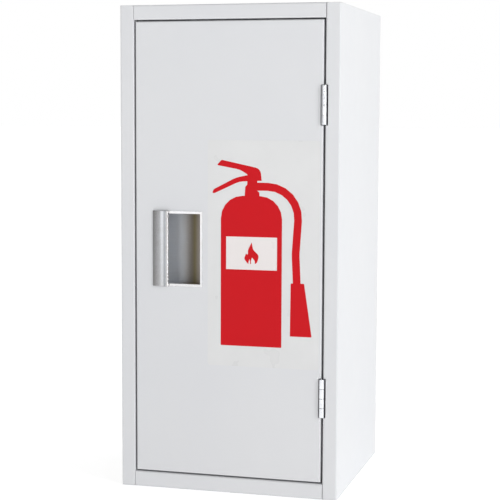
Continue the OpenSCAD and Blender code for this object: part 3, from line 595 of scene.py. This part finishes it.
def vessel_profile(top):
    """Outside of the vessel as (radius, height) points, from the middle of its foot to its neck.

    Heights are above the extinguisher's base, and top is the neck's.
    """
    knuckle, shoulder, slope = 22 * MM, 40 * MM, 70
    foot_cap, wall_top, neck, mouth, neck_edge = 4 * MM, 375 * MM, 20 * MM, 15.2 * MM, 0.5 * MM
    knuckle_steps, wall_steps, seam_steps, shoulder_steps = 14, 12, 12, 22
    wall_low = VESSEL_FOOT + knuckle
    wall_high = SEAM_Z - 5 * MM
    points = [(foot_cap, VESSEL_FOOT)]
    points += arc_points((VESSEL_R - knuckle, wall_low), knuckle, -90, 0, knuckle_steps)
    for i in range(1, wall_steps + 1):
        points.append((VESSEL_R, wall_low + (wall_high - wall_low) * i / wall_steps))
    for i in range(seam_steps + 1):
        rise = SEAM_HEIGHT * math.sin(math.pi * i / seam_steps) ** 0.7
        points.append((VESSEL_R + rise, SEAM_Z - SEAM_HALF + 2 * SEAM_HALF * i / seam_steps))
    points.append((VESSEL_R, SEAM_Z + SEAM_HALF + 1 * MM))
    points += arc_points((VESSEL_R - shoulder, wall_top), shoulder, 0, slope, shoulder_steps)
    cone_r, cone_z = points[-1]
    neck_z = cone_z + (cone_r - neck) / math.tan(math.radians(slope))
    for out, rise in ((2.5, -0.9), (0.7, 0.2), (0.0, 2.0)):
        points.append((neck + out * MM, neck_z + rise * MM))
    points += [(neck, top - neck_edge), (neck - neck_edge, top), (mouth, top)]
    return points


def make_vessel(material):
    """Pressed steel cylinder with the rippled weld that joins its upper and lower shells."""
    sides, ripples, ripple_share, wander, wanders = 720, 150, 0.14, 4, 3
    low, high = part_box("pressure_cylinder")
    base = low.z - VESSEL_FOOT

    def weld_ripple(radius, height):
        """Waves on the weld's bead, in step with how far it stands out at that height."""
        rise = radius - VESSEL_R
        if rise <= 0 or height < SEAM_Z - SEAM_HALF:
            return None
        wave = ripple_share * rise
        return lambda turn: wave * math.sin(ripples * turn + wander * math.sin(wanders * turn))

    rings = []
    for radius, height in vessel_profile(high.z - base):
        centre = Vector((AXIS.x, AXIS.y, base + height))
        rings.append(ring_round(centre, X_AXIS, Y_AXIS, radius, sides, weld_ripple(radius, height)))
    vessel = skin_rings("vessel_shell", rings)
    vessel.data.materials.append(material)
    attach(vessel, "extinguisher")
    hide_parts("pressure_cylinder")


def make_spring(material):
    """Coil under the valve stem, which shortens as the lever presses the stem down."""
    turns, steps_per_turn, wire, sides, keep = 4, 36, 0.7 * MM, 14, 0.71
    low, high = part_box("valve_spring")
    centre = (low + high) / 2
    coil = (high.x - low.x) / 2 - wire
    start, climb = low.z + wire, high.z - low.z - 2 * wire
    rings = []
    steps = turns * steps_per_turn
    for i in range(steps + 1):
        turn = math.tau * turns * i / steps
        outward = Vector((math.cos(turn), math.sin(turn), 0))
        middle = Vector((centre.x, centre.y, start + climb * i / steps)) + outward * coil
        rings.append(ring_round(middle, outward, Z_AXIS, wire, sides))
    spring = skin_rings("spring_coil", rings)
    spring.data.materials.append(material)
    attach(spring, "extinguisher")
    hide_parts("valve_spring")
    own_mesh(spring)


# ---- Stage ----

def make_camera():
    aim = Vector((AIM_RIGHT, FRONT_Y, HEIGHT / 2 + AIM_UP))
    tilt = Matrix.Rotation(math.pi / 2 - CAMERA_PITCH, 4, "X") @ Matrix.Rotation(CAMERA_ROLL, 4, "Z")
    turn = Matrix.Rotation(CAMERA_YAW, 4, "Z") @ tilt
    data = bpy.data.cameras.new("camera")
    data.lens = CAMERA_LENS
    data.sensor_width = 36.0
    data.clip_start = 0.05
    camera = link_object("camera", data)
    camera.matrix_world = Matrix.Translation(aim) @ turn @ Matrix.Translation((0, 0, CAMERA_DISTANCE))
    bpy.context.scene.camera = camera


def add_area(name, place, target, size, watts, colour):
    """Rectangular light at a place, facing its target."""
    data = bpy.data.lights.new(name, "AREA")
    data.shape = "RECTANGLE"
    data.size, data.size_y = size
    data.energy = watts
    data.color = colour
    light = link_object(name, data)
    light.location = place
    light.rotation_euler = (Vector(target) - Vector(place)).to_track_quat("-Z", "Y").to_euler()


def make_world():
    """Soft white studio: a grey flag on the left, light from the right, and a plain white background."""
    white, warm_low = (1.0, 1.0, 1.0), (1.0, 0.995, 0.985)
    cool_high, warm_left = (0.965, 0.985, 1.0), (1.0, 0.92, 0.80)
    world = bpy.data.worlds.new("studio")
    world.use_nodes = True
    tree = world.node_tree
    tree.nodes.clear()
    x, y, z = split(tree, coords(tree, space="Generated"))
    side = spread(tree, x, STUDIO_LEFT, STUDIO_RIGHT, from_low=-0.85, from_high=0.25)
    behind = spread(tree, y, 0.0, 1.0, from_low=0.2, from_high=0.6)
    upward = spread(tree, z, 0.0, 1.0, from_low=-0.2, from_high=0.5)
    rightward = spread(tree, x, 0.0, 1.0, from_low=-0.9, from_high=-0.3)
    cool = blend_colour(tree, upward, rgba(warm_low), rgba(cool_high))
    tint = blend_colour(tree, rightward, rgba(warm_left), cool)
    glow = blend_value(tree, behind, side, 1.0)
    light = add_node(tree, "ShaderNodeBackground", {"Color": tint, "Strength": glow})
    paper = add_node(tree, "ShaderNodeBackground", {"Color": rgba(white), "Strength": 1.0})
    seen = add_node(tree, "ShaderNodeLightPath").outputs["Is Camera Ray"]
    pick = add_node(tree, "ShaderNodeMixShader",
                    {0: seen, 1: light.outputs["Background"], 2: paper.outputs["Background"]})
    out = add_node(tree, "ShaderNodeOutputWorld")
    tree.links.new(pick.outputs[0], out.inputs["Surface"])
    bpy.context.scene.world = world


def make_floor():
    """Wide white floor that glows a little, as a light table does, so that it meets the background unseen."""
    mesh = bpy.data.meshes.new("floor")
    corners = [(x * FLOOR_HALF, y * FLOOR_HALF, 0) for x, y in ((-1, -1), (1, -1), (1, 1), (-1, 1))]
    mesh.from_pydata(corners, [], [(0, 1, 2, 3)])
    floor = link_object("floor", mesh)
    material, tree, body = shader("studio floor", (0.88, 0.88, 0.88), 0.9, Specular_IOR_Level=0.1,
                                  Emission_Color=rgba((1, 1, 1)))
    away = add_node(tree, "ShaderNodeVectorMath", {0: coords(tree)}, operation="LENGTH")
    glow = spread(tree, away.outputs["Value"], *FLOOR_GLOW, from_low=0.4, from_high=3.0)
    scuffs = noise(tree, coords(tree), 3.0)
    feed(tree, body, Emission_Strength=glow, Roughness=spread(tree, scuffs, 0.85, 0.95))
    mesh.materials.append(material)


def make_stage():
    scene = bpy.context.scene
    scene.view_settings.view_transform = "Standard"
    scene.view_settings.look = "None"
    make_camera()
    make_world()
    make_floor()
    middle = (0, 0, HEIGHT / 2)
    add_area("side light", (2.2, -1.3, 0.75), middle, (0.2, 2.0), 22.0, (1.0, 0.995, 0.99))
    add_area("front light", (-0.85, -3.1, 1.3), middle, (1.1, 2.5), 10.0, (0.985, 0.99, 1.0))


materials = make_materials()
make_stage()
finish_cad(materials)
make_hose(braided_rubber("wrapped hose", (0.017, 0.017, 0.018)))
make_vessel(materials["red_paint"])
make_spring(materials["zinc_hardware"])
